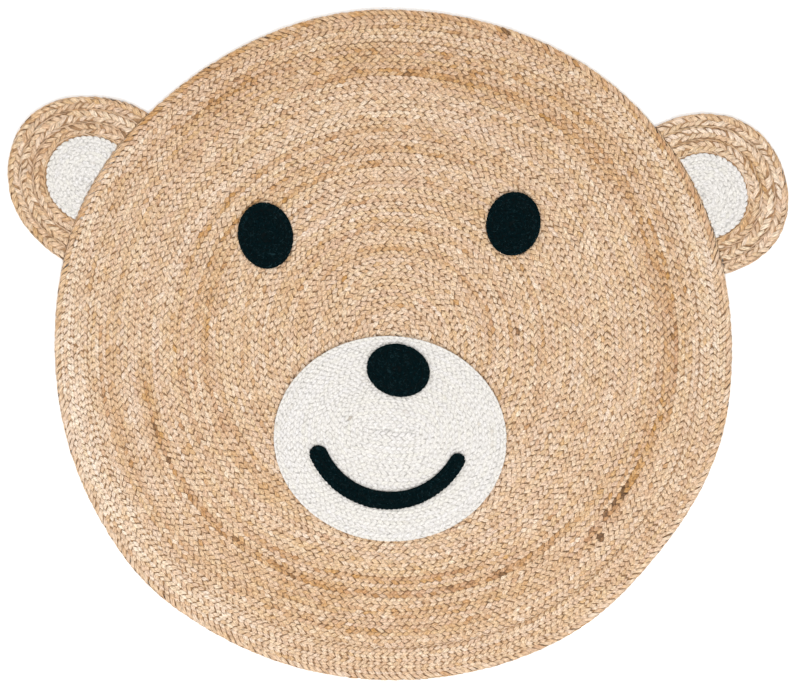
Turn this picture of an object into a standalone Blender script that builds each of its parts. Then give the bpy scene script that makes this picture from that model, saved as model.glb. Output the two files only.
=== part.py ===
"""Bear-head rug of coiled flat braids: a round jute face, two ears cut to its edge, and sewn-on features."""
import math

import bmesh
import bpy
from mathutils import Vector

# Driving sizes in metres. The rug lies flat, with its top towards +Y and its underside at z = 0
GAP = 0.0003
FACE_RADIUS = 0.5003
FACE_TURNS = 43
BROAD_TURNS = 2
BROAD_BRAID = 0.0199
EDGE_ROW = 0.0096
EAR_TURNS = 3
EAR_BRAID = 0.0200
COTTON_BRAID = 0.0098
YARN_BRAID = 0.0092
CORE = 0.0045
TAIL = 0.15  # width left at the coil's end, as a share of its braid

JUTE_THICK = 0.0092
COTTON_THICK = 0.0050
EAR_COTTON_THICK = 0.0080
YARN_THICK = 0.0040
JUTE_RIDGE = 0.0022
COTTON_RIDGE = 0.0014
YARN_RIDGE = 0.0010
EDGE_ROUND = 0.0015

# Points round each piece
FACE_AROUND = 50
MUZZLE_AROUND = 36
EAR_AROUND = 36
SPOT_AROUND = 24
SMILE_ALONG = 26

# How an outline strays from a circle: waves round it, their size, and the angle of a crest in degrees
FACE_WAVES = ((2, 0.0036, 23), (3, 0.0011, -32), (4, 0.0016, 38))
EARS = {
    "left": {
        "at": (-0.4603, 0.2470), "radius": 0.1226,
        "waves": ((2, 0.0057, 87), (3, 0.0070, 38), (4, 0.0031, 27)),
    },
    "right": {
        "at": (0.4508, 0.2192), "radius": 0.1244,
        "waves": ((2, 0.0016, 44), (3, 0.0027, -5), (4, 0.0025, -34)),
    },
}
FACE_AT = (-0.0067, -0.0019)

# Sewn-on ovals: centre, half-length along the tilt and across it, and tilt in degrees
MUZZLE = {"at": (-0.0130, -0.1384), "half": (0.1721, 0.1516), "tilt": -4}
MUZZLE_SLIT = 0.034
MUZZLE_RISE = 0.012
SPOTS = {
    "eye_left": {"at": (-0.1973, 0.1618), "half": (0.0493, 0.0406), "tilt": 101},
    "eye_right": {"at": (0.1692, 0.1793), "half": (0.0473, 0.0401), "tilt": 81},
    "nose": {"at": (-0.0010, -0.0374), "half": (0.0471, 0.0387), "tilt": -15},
}

# The smile: two arcs that meet at its lowest point, each with a radius and a sweep in degrees
SMILE_LOW = (-0.0134, -0.2300)
SMILE_LEFT = (0.115, 73)
SMILE_RIGHT = (0.114, 67)
SMILE_HALF_WIDTH = (0.0132, 0.0110)
SMILE_ROWS = 3

COLOURS = {
    "jute": ((0.70, 0.47, 0.27), 0.85),
    "cotton": ((0.86, 0.83, 0.78), 0.90),
    "yarn": ((0.004, 0.009, 0.012), 0.95),
}


def material(name, kind):
    colour, roughness = COLOURS[kind]
    made = bpy.data.materials.new(name)
    made.use_nodes = True
    made.diffuse_color = (*colour, 1)
    shader = made.node_tree.nodes["Principled BSDF"]
    shader.inputs["Base Color"].default_value = (*colour, 1)
    shader.inputs["Roughness"].default_value = roughness
    shader.inputs["Metallic"].default_value = 0
    return made


def finish_piece(name, kind, bm, at, height):
    """Turn a bmesh into a named object that stands at its place."""
    bmesh.ops.recalc_face_normals(bm, faces=bm.faces)
    mesh = bpy.data.meshes.new(name)
    bm.to_mesh(mesh)
    bm.free()
    piece = bpy.data.objects.new(name, mesh)
    piece.location = (*at, height)
    bpy.context.collection.objects.link(piece)
    mesh.materials.append(material(name, kind))
    return piece


def wavy_round(radius, waves):
    """Places on a nearly round coil, whose waves fade towards its middle."""

    def place(distance, angle):
        share = (distance / radius) ** 2
        stray = sum(size * math.cos(count * (angle - math.radians(crest))) for count, size, crest in waves)
        reach = distance + share * stray
        return reach * math.cos(angle), reach * math.sin(angle)

    return place


def oval(half, tilt, slit=0.0, rise=0.0):
    """Places on an oval coil, by the distance from its middle across its width. slit opens the first turn."""
    length, width = half
    turn = math.radians(tilt)

    def place(distance, angle):
        share = distance / width
        end = max(-1.0, min(1.0, 1.6 * math.cos(angle)))
        x = share * length * math.cos(angle) + (1 - share) * slit * end
        y = distance * math.sin(angle) + (1 - share) * rise
        return x * math.cos(turn) - y * math.sin(turn), x * math.sin(turn) + y * math.cos(turn)

    return place


def ring(bm, place, distance, height, around):
    """One closed row of points at a distance from the middle."""
    step = 2 * math.pi / around
    return [bm.verts.new((*place(distance, i * step), height)) for i in range(around)]


def strip(bm, inner, outer):
    """Faces between two closed rows."""
    for i, point in enumerate(inner):
        j = (i + 1) % len(inner)
        bm.faces.new((point, inner[j], outer[j], outer[i]))


def braid_section(start, width, turns, valley, crest):
    """Distances and heights across the tops of some broad braids, from one groove to the last."""
    shoulder = valley + 0.8 * (crest - valley)
    shape = ((0.2, shoulder), (0.5, crest), (0.8, shoulder), (1.0, valley))
    return [(start + (turn + share) * width, height) for turn in range(turns) for share, height in shape]


def coiled_top(bm, place, turns, pitch, around, valley, crest):
    """The ridged top of one long coiled braid, and the closed groove that goes round it."""
    steps = turns * around
    turn = 2 * math.pi / around
    grooves = [
        bm.verts.new((*place(CORE + pitch * i / around, i * turn), valley)) for i in range(steps + 1)
    ]
    ridges = []
    for i in range(steps + 1):
        left = max(0, i - (steps - around)) / around
        share = 1 - left * (1 - TAIL)
        height = valley + (crest - valley) * share**1.5
        spot = place(CORE + pitch * (i / around + share / 2), i * turn)
        ridges.append(bm.verts.new((*spot, height)))
    border = ring(bm, place, CORE + pitch * (turns + TAIL), valley, around)
    outside = grooves[around:] + border[1:] + border[:1]
    for i in range(steps):
        bm.faces.new((grooves[i], grooves[i + 1], ridges[i + 1], ridges[i]))
        if i != steps - around:
            bm.faces.new((ridges[i], ridges[i + 1], outside[i + 1], outside[i]))
    bm.faces.new((ridges[steps - around], ridges[steps - around + 1], border[1], border[0]))
    bm.faces.new((ridges[steps - around], border[0], ridges[steps], grooves[steps]))

    middle = bm.verts.new((*place(0, 0), valley - 0.4 * (crest - valley)))
    for i in range(around):
        bm.faces.new((middle, grooves[i + 1], grooves[i]))
    bm.faces.new((middle, grooves[0], ridges[0], grooves[around]))
    return border


def close_below(bm, place, last, section, around):
    """Carry the last row of a top down through a section to a flat underside."""
    for distance, height in section:
        row = ring(bm, place, distance, height, around)
        strip(bm, last, row)
        last = row
    bm.faces.new(last)


def rounded_edge(distance, thick):
    """Distances and heights down a piece's outer edge."""
    return [(distance, thick / 2), (distance - EDGE_ROUND, 0)]


def face():
    place = wavy_round(FACE_RADIUS, FACE_WAVES)
    valley = JUTE_THICK - JUTE_RIDGE
    edge = FACE_RADIUS - EDGE_ROW
    broad = edge - BROAD_TURNS * BROAD_BRAID
    pitch = (broad - CORE) / (FACE_TURNS + TAIL)
    bm = bmesh.new()
    border = coiled_top(bm, place, FACE_TURNS, pitch, FACE_AROUND, valley, JUTE_THICK - GAP)
    section = braid_section(broad, BROAD_BRAID, BROAD_TURNS, valley, JUTE_THICK)
    section += [(edge + EDGE_ROW / 2, JUTE_THICK - GAP), (FACE_RADIUS - EDGE_ROUND, valley)]
    close_below(bm, place, border, section + rounded_edge(FACE_RADIUS, JUTE_THICK), FACE_AROUND)
    return finish_piece("face", "jute", bm, FACE_AT, 0)


def oval_piece(name, kind, spec, pitch, thick, ridge, around, height, slit=0.0, rise=0.0):
    """A flat oval coil sewn on top of what lies under it."""
    place = oval(spec["half"], spec["tilt"], slit, rise)
    half = spec["half"][1]
    turns = round((half - CORE) / pitch) - 1
    fitted = (half - EDGE_ROUND - CORE) / (turns + TAIL + 1)
    valley = thick - ridge
    bm = bmesh.new()
    border = coiled_top(bm, place, turns, fitted, around, valley, thick)
    section = [(half - EDGE_ROUND - fitted / 2, thick), (half - EDGE_ROUND / 2, valley)]
    close_below(bm, place, border, section + rounded_edge(half, thick), around)
    return finish_piece(name, kind, bm, spec["at"], height)


def ear_rim(side, spec):
    """Three turns of broad jute braid round the ear, before its lower side is cut away."""
    place = wavy_round(spec["radius"], spec["waves"])
    inner = spec["radius"] - EAR_TURNS * EAR_BRAID
    valley = JUTE_THICK - JUTE_RIDGE
    section = [(inner, 0), (inner, valley)]
    section += braid_section(inner, EAR_BRAID, EAR_TURNS, valley, JUTE_THICK)
    section[-1] = (spec["radius"] - EDGE_ROUND, valley)
    section += rounded_edge(spec["radius"], JUTE_THICK)
    bm = bmesh.new()
    rows = [ring(bm, place, distance, height, EAR_AROUND) for distance, height in section]
    for inner_row, outer_row in zip(rows, rows[1:] + rows[:1]):
        strip(bm, inner_row, outer_row)
    return finish_piece(f"ear_rim_{side}", "jute", bm, spec["at"], 0)


def ear_inner(side, spec):
    """The white cotton coil inside the rim, before its lower side is cut away."""
    place = wavy_round(spec["radius"], spec["waves"])
    edge = spec["radius"] - EAR_TURNS * EAR_BRAID - GAP
    turns = round((edge - CORE) / COTTON_BRAID) - 1
    fitted = (edge - CORE) / (turns + TAIL + 1)
    valley = EAR_COTTON_THICK - COTTON_RIDGE
    bm = bmesh.new()
    border = coiled_top(bm, place, turns, fitted, EAR_AROUND, valley, EAR_COTTON_THICK)
    section = [(edge - fitted / 2, EAR_COTTON_THICK), (edge, valley), (edge, 0)]
    close_below(bm, place, border, section, EAR_AROUND)
    return finish_piece(f"ear_inner_{side}", "cotton", bm, spec["at"], 0)


def face_cutter():
    """A prism of the face's outline, a gap larger all round, that trims the ears."""
    place = wavy_round(FACE_RADIUS, FACE_WAVES)
    bm = bmesh.new()
    low = ring(bm, place, FACE_RADIUS + GAP, -0.01, FACE_AROUND)
    bottom = bm.faces.new(low)
    lifted = bmesh.ops.extrude_face_region(bm, geom=[bottom])["geom"]
    tops = [item for item in lifted if isinstance(item, bmesh.types.BMVert)]
    bmesh.ops.translate(bm, verts=tops, vec=Vector((0, 0, 0.03)))
    return finish_piece("cutter", "jute", bm, FACE_AT, 0)


def trim(piece, cutter):
    """Cut a piece along the face's edge and keep the result as its mesh."""
    cut = piece.modifiers.new("cut along the face", "BOOLEAN")
    cut.operation = "DIFFERENCE"
    cut.solver = "EXACT"
    cut.object = cutter
    seen = piece.evaluated_get(bpy.context.evaluated_depsgraph_get())
    trimmed = bpy.data.meshes.new_from_object(seen)
    piece.modifiers.remove(cut)
    piece.data = trimmed


def smile_point(travel):
    """A place on the smile's centreline and its direction, by the distance from its lowest point."""
    radius = (SMILE_LEFT if travel < 0 else SMILE_RIGHT)[0]
    angle = travel / radius
    return Vector((radius * math.sin(angle), radius * (1 - math.cos(angle)))), angle


def smile(height):
    """A curved band of rows that run along it, with rounded ends."""
    left = -SMILE_LEFT[0] * math.radians(SMILE_LEFT[1])
    right = SMILE_RIGHT[0] * math.radians(SMILE_RIGHT[1])
    across = 2 * SMILE_ROWS
    bm = bmesh.new()
    tops, lows = [], []
    for i in range(SMILE_ALONG + 1):
        travel = left + (right - left) * (1 - math.cos(math.pi * i / SMILE_ALONG)) / 2
        share = (travel - left) / (right - left)
        wide = SMILE_HALF_WIDTH[0] + (SMILE_HALF_WIDTH[1] - SMILE_HALF_WIDTH[0]) * max(0, share - 0.5) * 2
        end = min(travel - left, right - travel, wide)
        half = max(0.2 * wide, math.sqrt(max(0, wide**2 - (wide - end) ** 2)))
        middle, angle = smile_point(travel)
        side = Vector((-math.sin(angle), math.cos(angle)))
        top, low = [], []
        for k in range(across + 1):
            spot = middle + side * half * (2 * k / across - 1)
            level = YARN_THICK if k % 2 else YARN_THICK - YARN_RIDGE
            top.append(bm.verts.new((*spot, level)))
            low.append(bm.verts.new((*spot, 0)))
        tops.append(top)
        lows.append(low)
    for i in range(SMILE_ALONG):
        for k in range(across):
            bm.faces.new((tops[i][k], tops[i + 1][k], tops[i + 1][k + 1], tops[i][k + 1]))
            bm.faces.new((lows[i][k], lows[i][k + 1], lows[i + 1][k + 1], lows[i + 1][k]))
        for k in (0, across):
            bm.faces.new((tops[i][k], lows[i][k], lows[i + 1][k], tops[i + 1][k]))
    for i in (0, SMILE_ALONG):
        for k in range(across):
            bm.faces.new((tops[i][k], tops[i][k + 1], lows[i][k + 1], lows[i][k]))
    return finish_piece("smile", "yarn", bm, SMILE_LOW, height)


def centre_on_origin(pieces):
    """Move the whole rug so that the middle of its box stands over the origin."""
    bpy.context.view_layer.update()
    corners = [piece.matrix_world @ vert.co for piece in pieces for vert in piece.data.vertices]
    middle = [(min(c[axis] for c in corners) + max(c[axis] for c in corners)) / 2 for axis in (0, 1)]
    for piece in pieces:
        piece.location.x -= middle[0]
        piece.location.y -= middle[1]


def main():
    for thing in list(bpy.data.objects):
        bpy.data.objects.remove(thing)
    pieces = [face()]
    cutter = face_cutter()
    for side, spec in EARS.items():
        for piece in (ear_rim(side, spec), ear_inner(side, spec)):
            trim(piece, cutter)
            pieces.append(piece)
    bpy.data.objects.remove(cutter)

    on_face = JUTE_THICK + GAP
    on_muzzle = on_face + COTTON_THICK + GAP
    muzzle = oval_piece(
        "muzzle", "cotton", MUZZLE, COTTON_BRAID, COTTON_THICK, COTTON_RIDGE,
        MUZZLE_AROUND, on_face, MUZZLE_SLIT, MUZZLE_RISE,
    )
    pieces.append(muzzle)
    for name, spec in SPOTS.items():
        height = on_muzzle if name == "nose" else on_face
        spot = oval_piece(
            name, "yarn", spec, YARN_BRAID, YARN_THICK, YARN_RIDGE, SPOT_AROUND, height
        )
        pieces.append(spot)
    pieces.append(smile(on_muzzle))
    centre_on_origin(pieces)


main()
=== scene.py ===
"""Plait a bear-head rug: coils of jute, cotton and yarn braid, stitch by stitch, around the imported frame."""
import math

import bmesh
import bpy
import numpy as np
from bpy.props import FloatProperty, FloatVectorProperty, IntProperty, PointerProperty
from mathutils import Matrix, Vector


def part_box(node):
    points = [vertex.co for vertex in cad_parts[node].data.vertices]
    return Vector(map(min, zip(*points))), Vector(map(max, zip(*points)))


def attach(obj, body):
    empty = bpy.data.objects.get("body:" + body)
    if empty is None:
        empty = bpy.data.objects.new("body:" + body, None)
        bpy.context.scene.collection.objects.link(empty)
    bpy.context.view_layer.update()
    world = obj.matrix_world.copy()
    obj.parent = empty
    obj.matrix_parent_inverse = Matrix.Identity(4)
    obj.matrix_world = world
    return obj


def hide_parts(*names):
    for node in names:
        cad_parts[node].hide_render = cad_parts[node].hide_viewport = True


bl_info = {
    "name": "Bear-Head Braided Rug",
    "version": (1, 0, 0),
    "blender": (4, 5, 0),
    "location": "View3D > Sidebar > Rug",
    "description": "Plaits a coiled jute rug with ears, a cotton muzzle and yarn features",
    "category": "Mesh",
}

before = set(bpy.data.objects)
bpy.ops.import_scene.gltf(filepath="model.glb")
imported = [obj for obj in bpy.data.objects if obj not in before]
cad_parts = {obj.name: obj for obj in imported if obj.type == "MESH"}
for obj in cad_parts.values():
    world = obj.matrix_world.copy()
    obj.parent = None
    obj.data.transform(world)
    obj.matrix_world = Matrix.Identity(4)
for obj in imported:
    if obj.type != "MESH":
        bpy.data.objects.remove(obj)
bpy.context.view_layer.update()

# Sizes in metres. The broad, edge and ear braids are a little narrower than the solids' own. A coil starts
# at CORE from its middle, and its end narrows to the share TAIL of its width
GAP = 0.0003
FACE_RADIUS = 0.5003
FACE_TURNS = 43
FACE_PARTS = 4
BROAD_TURNS = 2
BROAD_BRAID = 0.0194
EDGE_ROW = 0.0086
EAR_TURNS = 3
EAR_BRAID = 0.0197
COTTON_BRAID = 0.0098
YARN_BRAID = 0.0092
CORE = 0.0045
TAIL = 0.15

# Points along a closed turn, along each turn of a coil and along the smile, and a small step along a row
ROUND_POINTS = 720
COIL_POINTS = 120
SMILE_POINTS = 400
STEP = 0.001

# Runners are flat fibres along a row's side, with a width and then a spacing and lean. A seam runs along an
# ear's cut edge, a rim round the face, and a border round the muzzle, the eyes and the nose
RUNNER = 0.0032
RUNNER_LAY = (0.011, 0.16)
FIRST_RUNNER = 0.0008
RUNNER_LAP = 0.0014
SEAM = 0.0014
RIM = 0.0020
BORDER = 0.0030
BORDER_LAY = (0.006, 0.25)

# A stitch leans outwards in a column marked -1, and inwards in one marked 1
PLAIT_COLUMNS = (-1, 1)
BROAD_COLUMNS = (-1, -1, 1, 1)

# Spreads of a stitch's place, angles and size, in radians or as shares. The ears' stitches are more uneven
SCATTER = {
    "along": 0.045, "across": 0.025, "lean": 0.09, "long": 0.09, "wide": 0.08, "tall": 0.08,
    "pitch": 0.05, "roll": 0.08, "bend": 0.05,
}
EAR_UNEVEN = 1.8

# How much longer and wider a stitch is than its room. The least share of its height that it keeps by chance,
# and where its braid is under the share NARROW of its usual width
OVERLAP = (1.24, 1.06)
LOWEST = (0.75, 0.5)
NARROW = 0.6

# How a stitch tilts up, rolls, slants at its ends and curves, by its column
PITCH = 0.05
ROLL = 0.10
SLANT = 0.45
CURVE = 0.05

# How far a stitch's ends dip below its middle, and how much darker its sides are than its crown: painted shade
# for the creases between stitches. The crown begins at CROWN over the middle of a stitch 1 high. A shift keeps
# two stitches from showing the same streaks
ARCH = 0.0007
EAR_ARCH = 0.0016
CREASE_SHADE = 0.37
FINE_CREASE_SHADE = 0.11
CROWN = 0.45
STREAK_SHIFT = (31.7, 57.3)

# Loose fibres: length, width and height, lift from the stitch below, spreads of turn and bend, and arch.
# The face has EAR_STRAYS for each one in an ear
STRAYS = {"size": (0.014, 0.00028, 0.00028), "lift": 0.0001, "turn": 0.5, "bend": 0.25, "arch": 0.0012}
FUZZ = {"size": (0.0040, 0.00045, 0.00040), "lift": -0.0001, "turn": 2.0, "bend": 0.35, "arch": 0.0006}
FIBRE_DRIFT = 0.002
FIBRE_PITCH = 0.03
FIBRE_SIZES = (0.6, 1.4)
FIBRE_TONES = (0.08, 0.14)
# How much paler the yarn's fuzz is drawn than its stitch, as painted highlight where light catches loose
# fibres
FUZZ_HIGHLIGHT = 0.40
EAR_STRAYS = 12

# Lowest points of the stitches and strays, how far loose fibres lie under and over a piece's top, and how
# far points may stand out past an outline
SOLE = 0.0002
STRAYS_FLOOR = 0.004
STRAYS_RISE = 0.002
FUZZ_DEPTH = 0.003
FUZZ_RISE = 0.001
GIVE = 0.0008
COTTON_GIVE = 0.0004
SMILE_GIVE = 0.0003

# A core's bottom and top over its piece's underside, and how far it stays in from the edge. The top of an
# oval's core is a share of the oval's thickness
JUTE_CORE = (0.0016, 0.0060, 0.0012)
WHITE_CORE = (0.0010, 0.0070, 0.0010)
SMILE_CORE = (0.0003, 0.0032, 0.0010)
OVAL_CORE = (0.0003, 0.8, 0.0015)
FACE_CORE_EDGE = 0.0025
FACE_CORE_GIVE = 0.0001

# How far inside the face's edge the middle of an ear's stitch may lie
JUTE_LAP = 0.0015
WHITE_LAP = 0.0010

# Middle tones of the jute, from 0 for the darkest to 1, with two for the ears' stitches and runners. The
# cotton and the yarn have a middle tone and a spread
FACE_TONE = 0.58
BROAD_TONE = 0.57
EDGE_TONE = 0.56
EAR_TONES = (0.59, 0.48)
COTTON_TONES = (0.75, 0.1)
YARN_TONES = (0.5, 0.05)
DARKEST = 0.1

# Streaks have a length and a change of tone. Bands fade over an angle and differ in strength from stitch to
# stitch. A few stitches are odd darker ones
LONG_STREAK = (0.30, 0.09)
SHORT_STREAK = (0.06, 0.03)
EAR_STREAKS = 2.2
STITCH_SPREAD = 0.065
BAND_FADE = 0.3
BAND_STRENGTH = (0.3, 1.5)
ODD_SHARE = 0.006
ODD_DARKER = (0.08, 0.22)
SPECK_TONE = 0.2
DRIFT_LENGTH = 0.12
TINT_DRIFT = 0.6
TINT_RANGE = 0.5

# What each group of pieces adds to the seed
SEEDS = {"ears": 11, "muzzle": 31, "spots": 41, "smile": 61}

# Waves round an outline, their size, and the angle of a crest in degrees. The stitching draws the face's edge
# in from the solid's by a slack, and at pulls lets it out or draws it in. A pull has its angle and half its
# width in degrees, and its size
FACE_WAVES = ((2, 0.0036, 23), (3, 0.0011, -32), (4, 0.0016, 38))
FACE_SLACK = -0.0009
FACE_PULLS = (
    (156, 20, 0.0098), (320, 9, -0.0035), (12, 14, -0.0019), (100, 14, 0.0033), (344, 9, 0.0035),
    (224, 9, 0.0037), (52, 14, 0.0020), (300, 14, 0.0019),
)
EARS = {
    "left": {
        "from_face": (-0.4536, 0.2489), "radius": 0.1226,
        "waves": ((2, 0.0057, 87), (3, 0.0070, 38), (4, 0.0031, 27)),
    },
    "right": {
        "from_face": (0.4575, 0.2211), "radius": 0.1244,
        "waves": ((2, 0.0016, 44), (3, 0.0027, -5), (4, 0.0025, -34)),
    },
}

# Ovals have half their length and width and a tilt in degrees. The muzzle's first turn is opened to a slit
# with blunt ends, above its middle
MUZZLE = {"half": (0.1721, 0.1516), "tilt": -4, "slit": 0.034, "rise": 0.012}
SLIT_BLUNT = 1.6
SPOTS = {
    "eye_left": {"half": (0.0493, 0.0406), "tilt": 101},
    "eye_right": {"half": (0.0473, 0.0401), "tilt": 81},
    "nose": {"half": (0.0471, 0.0387), "tilt": -15},
}

# The smile is two arcs, each with its radius and sweep in degrees. Half its width is given for its left half
# and its right end, and it keeps a share of that at its tips
SMILE_LEFT = (0.115, 73)
SMILE_RIGHT = (0.114, 67)
SMILE_HALF_WIDTH = (0.0132, 0.0110)
SMILE_ROWS = 3
SMILE_END = 0.2

# Lengths of browner or paler braid: radius, middle angle, half the sweep in degrees, width and change of tone
BANDS = (
    (0.1435, 85, 85, 0.005, -0.16), (0.151, 130, 70, 0.010, -0.04), (0.179, 62, 22, 0.005, -0.09),
    (0.1745, 128, 40, 0.006, -0.13), (0.225, 75, 22, 0.004, -0.12), (0.2175, 205, 30, 0.004, -0.16),
    (0.226, 345, 25, 0.005, -0.12), (0.2735, 110, 22, 0.006, -0.18), (0.275, 192, 45, 0.012, -0.12),
    (0.2945, 120, 60, 0.006, -0.15), (0.2915, 220, 18, 0.006, -0.12), (0.3285, 118, 42, 0.005, -0.22),
    (0.318, 195, 35, 0.004, -0.06), (0.3505, 262, 32, 0.005, -0.18), (0.3725, 245, 58, 0.006, -0.24),
    (0.368, 318, 18, 0.005, -0.24), (0.411, 50, 60, 0.007, -0.28), (0.396, 25, 60, 0.012, -0.10),
    (0.426, 235, 58, 0.008, -0.14), (0.4405, 82, 50, 0.008, -0.16), (0.4525, 124, 10, 0.007, -0.30),
    (0.473, 115, 55, 0.006, -0.08), (0.4925, 78, 62, 0.006, -0.20), (0.402, 330, 18, 0.005, -0.30),
    (0.470, 210, 34, 0.022, 0.10), (0.470, 8, 18, 0.020, 0.10), (0.345, 130, 60, 0.008, 0.08),
    (0.250, 78, 22, 0.008, -0.08), (0.4625, 149, 9, 0.004, -0.20), (0.4955, 150, 18, 0.006, -0.12),
    (0.400, 268, 36, 0.012, -0.14), (0.315, 80, 25, 0.006, -0.10), (0.414, 130, 16, 0.010, -0.12),
    (0.435, 15, 12, 0.010, -0.12), (0.415, 325, 22, 0.006, -0.12), (0.482, 176, 40, 0.014, 0.12),
    (0.486, 35, 22, 0.012, 0.08),
)
# Dark specks in the jute and beige ones in the cotton, from the face's middle, each with its radius
SPECKS = (
    (0.181, 0.026, 0.0045), (0.339, -0.217, 0.0045), (0.326, -0.230, 0.003), (0.305, -0.284, 0.0040),
    (0.231, -0.325, 0.003), (-0.362, 0.010, 0.003), (-0.067, -0.108, 0.003), (-0.060, -0.115, 0.002),
    (-0.038, -0.099, 0.003),
)

# The photograph's middle from the face's, and its width on the floor
PHOTO_MIDDLE = (0.0082, 0.0071)
PHOTO_WIDTH = 1.1832
CAMERA_HEIGHT = 4.0
SENSOR_WIDTH = 36.0

# The floor's half width and white, and for each light its place, size and power
FLOOR_HALF = 6.0
FLOOR_WHITE = (0.96, 0.96, 0.96, 1)
LIGHTS = {
    "key": ((0.2, -1.9, 3.2), 1.8, 80),
    "fill": ((-0.8, 2.2, 2.8), 2.4, 18),
}


# Settings

def stitch_setting(name, row, default, least=0.004):
    """The length of one stitch along a row."""
    text = f"Length of one stitch along {row}"
    return FloatProperty(name=name, description=text, default=default, min=least, unit="LENGTH")


def lean_setting(name, rows, degrees):
    """The angle at which a row's stitches lie."""
    text = f"Angle of a stitch to its row in {rows}"
    return FloatProperty(name=name, description=text, default=math.radians(degrees), subtype="ANGLE")


def colour_setting(name, description, default):
    return FloatVectorProperty(
        name=name, description=description, subtype="COLOR", default=default, min=0, max=1,
    )


class RugBraids(bpy.types.PropertyGroup):
    narrow_spacing: stitch_setting("Narrow stitch", "the face's narrow braid", 0.0106)
    broad_spacing: stitch_setting("Broad stitch", "the face's broad edge braids", 0.0100)
    ear_spacing: stitch_setting("Ear stitch", "the ears' jute braid", 0.0102)
    edge_spacing: stitch_setting("Edge stitch", "the face's rolled edge row", 0.0104)
    cotton_spacing: stitch_setting("Cotton stitch", "the white cotton braid", 0.0092)
    yarn_spacing: stitch_setting("Yarn stitch", "the black yarn", 0.0066, 0.003)
    narrow_lean: lean_setting("Narrow lean", "the narrow braids", 37)
    broad_lean: lean_setting("Broad lean", "the broad braids", 38)
    ear_lean: lean_setting("Ear lean", "the ears' jute braid", 37)
    edge_lean: lean_setting("Edge lean", "the rolled edge row", 32)
    uneven: FloatProperty(
        name="Unevenness", description="How much stitches stray in place, turn and size",
        default=1.0, min=0, max=2, subtype="FACTOR",
    )
    streaks: FloatProperty(
        name="Streaks", description="How strongly brown and pale lengths of fibre show along the rows",
        default=1.0, min=0, max=2, subtype="FACTOR",
    )
    jute_strays: IntProperty(
        name="Jute strays", description="Loose fibres on the top of the jute", default=1200, min=0, max=6000,
    )
    yarn_fuzz: IntProperty(
        name="Yarn fuzz", description="Short fibres on each black piece", default=350, min=0, max=1500,
    )
    seed: IntProperty(
        name="Seed", description="Start of the fixed random numbers behind the unevenness", default=7, min=0,
    )


class RugColours(bpy.types.PropertyGroup):
    jute_speck: colour_setting("Jute speck", "Darkest specks of bark in the jute", (0.110, 0.060, 0.032))
    jute_brown: colour_setting("Jute brown", "Brown streaks of the jute", (0.435, 0.235, 0.100))
    jute_honey: colour_setting("Jute honey", "Middle colour of the jute", (0.582, 0.414, 0.274))
    jute_pale: colour_setting("Jute pale", "Palest strands of the jute", (0.745, 0.640, 0.525))
    # The jute core's brown is partly the fibre's own colour and partly painted shade for the pits between
    # stitches
    jute_core_and_shade: colour_setting("Jute core", "Fibre seen deep between the stitches", (0.330, 0.200, 0.108))
    cotton: colour_setting("Cotton", "Warm white of the cotton", (0.635, 0.611, 0.580))
    cotton_shade: colour_setting("Cotton shade", "Beige of the cotton's duller threads", (0.50, 0.45, 0.38))
    yarn: colour_setting("Yarn", "Blue-green black of the yarn", (0.0009, 0.0058, 0.0072))


# Places on coils

def wavy_round(radius, waves, middle, pulls=()):
    """Places on a nearly round coil, whose waves and pulls fade towards its middle."""

    def place(distance, angle):
        share = (distance / radius) ** 2
        stray = sum(size * np.cos(count * (angle - math.radians(crest))) for count, size, crest in waves)
        for at, half, size in pulls:
            off = (angle - math.radians(at) + math.pi) % (2 * math.pi) - math.pi
            stray = stray + size * np.exp(-((off / math.radians(half)) ** 2))
        reach = distance + share * stray
        return np.stack([middle[0] + reach * np.cos(angle), middle[1] + reach * np.sin(angle)], axis=-1)

    return place


def oval(half, tilt, slit=0.0, rise=0.0, middle=(0, 0)):
    """Places on an oval coil, by the distance across its width. slit opens the first turn."""
    length, width = half
    turn = math.radians(tilt)

    def place(distance, angle):
        share = distance / width
        end = np.clip(SLIT_BLUNT * np.cos(angle), -1, 1)
        x = share * length * np.cos(angle) + (1 - share) * slit * end
        y = distance * np.sin(angle) + (1 - share) * rise
        along = middle[0] + x * math.cos(turn) - y * math.sin(turn)
        across = middle[1] + x * math.sin(turn) + y * math.cos(turn)
        return np.stack([along, across], axis=-1)

    return place


def seat(node, outline):
    """Where a drawn outline has to move to lie in the middle of its CAD node's box."""
    low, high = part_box(node)
    drawn = (outline.min(axis=0) + outline.max(axis=0)) / 2
    return (low.x + high.x) / 2 - drawn[0], (low.y + high.y) / 2 - drawn[1]


def all_round():
    return np.linspace(0, 2 * math.pi, ROUND_POINTS, endpoint=False)


def face_middle():
    place = wavy_round(FACE_RADIUS, FACE_WAVES, (0, 0))
    angles = all_round()
    return seat("face", place(np.full(len(angles), FACE_RADIUS), angles))


def pulled_face(middle):
    """Places on the face's coil, with its edge as the stitching draws it."""
    return wavy_round(FACE_RADIUS, (*FACE_WAVES, (0, FACE_SLACK, 0)), middle, FACE_PULLS)


def spiral(pitch, turns):
    """Angles, distances and widths along the middle of a coiled braid, which starts at the coil's centre."""
    angles = np.linspace(-CORE / pitch, turns, int(turns * COIL_POINTS)) * 2 * math.pi
    turn = angles / (2 * math.pi)
    share = 1 - np.clip(turn - (turns - 1), 0, 1) * (1 - TAIL)
    return angles, CORE + pitch * (turn + share / 2), pitch * share


def round_turn(start, width):
    """The same for one closed turn that begins at a distance."""
    angles = np.linspace(0, 2 * math.pi, ROUND_POINTS + 1)
    return angles, np.full(len(angles), start + width / 2), np.full(len(angles), width)


def filling_runs(edge, width):
    """Runs of a coil of about a width that fills a form out to its edge, with a last closed turn."""
    turns = round((edge - CORE) / width) - 1
    pitch = (edge - CORE) / (turns + TAIL + 1)
    return spiral(pitch, turns), round_turn(CORE + pitch * (turns + TAIL), pitch)


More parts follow.
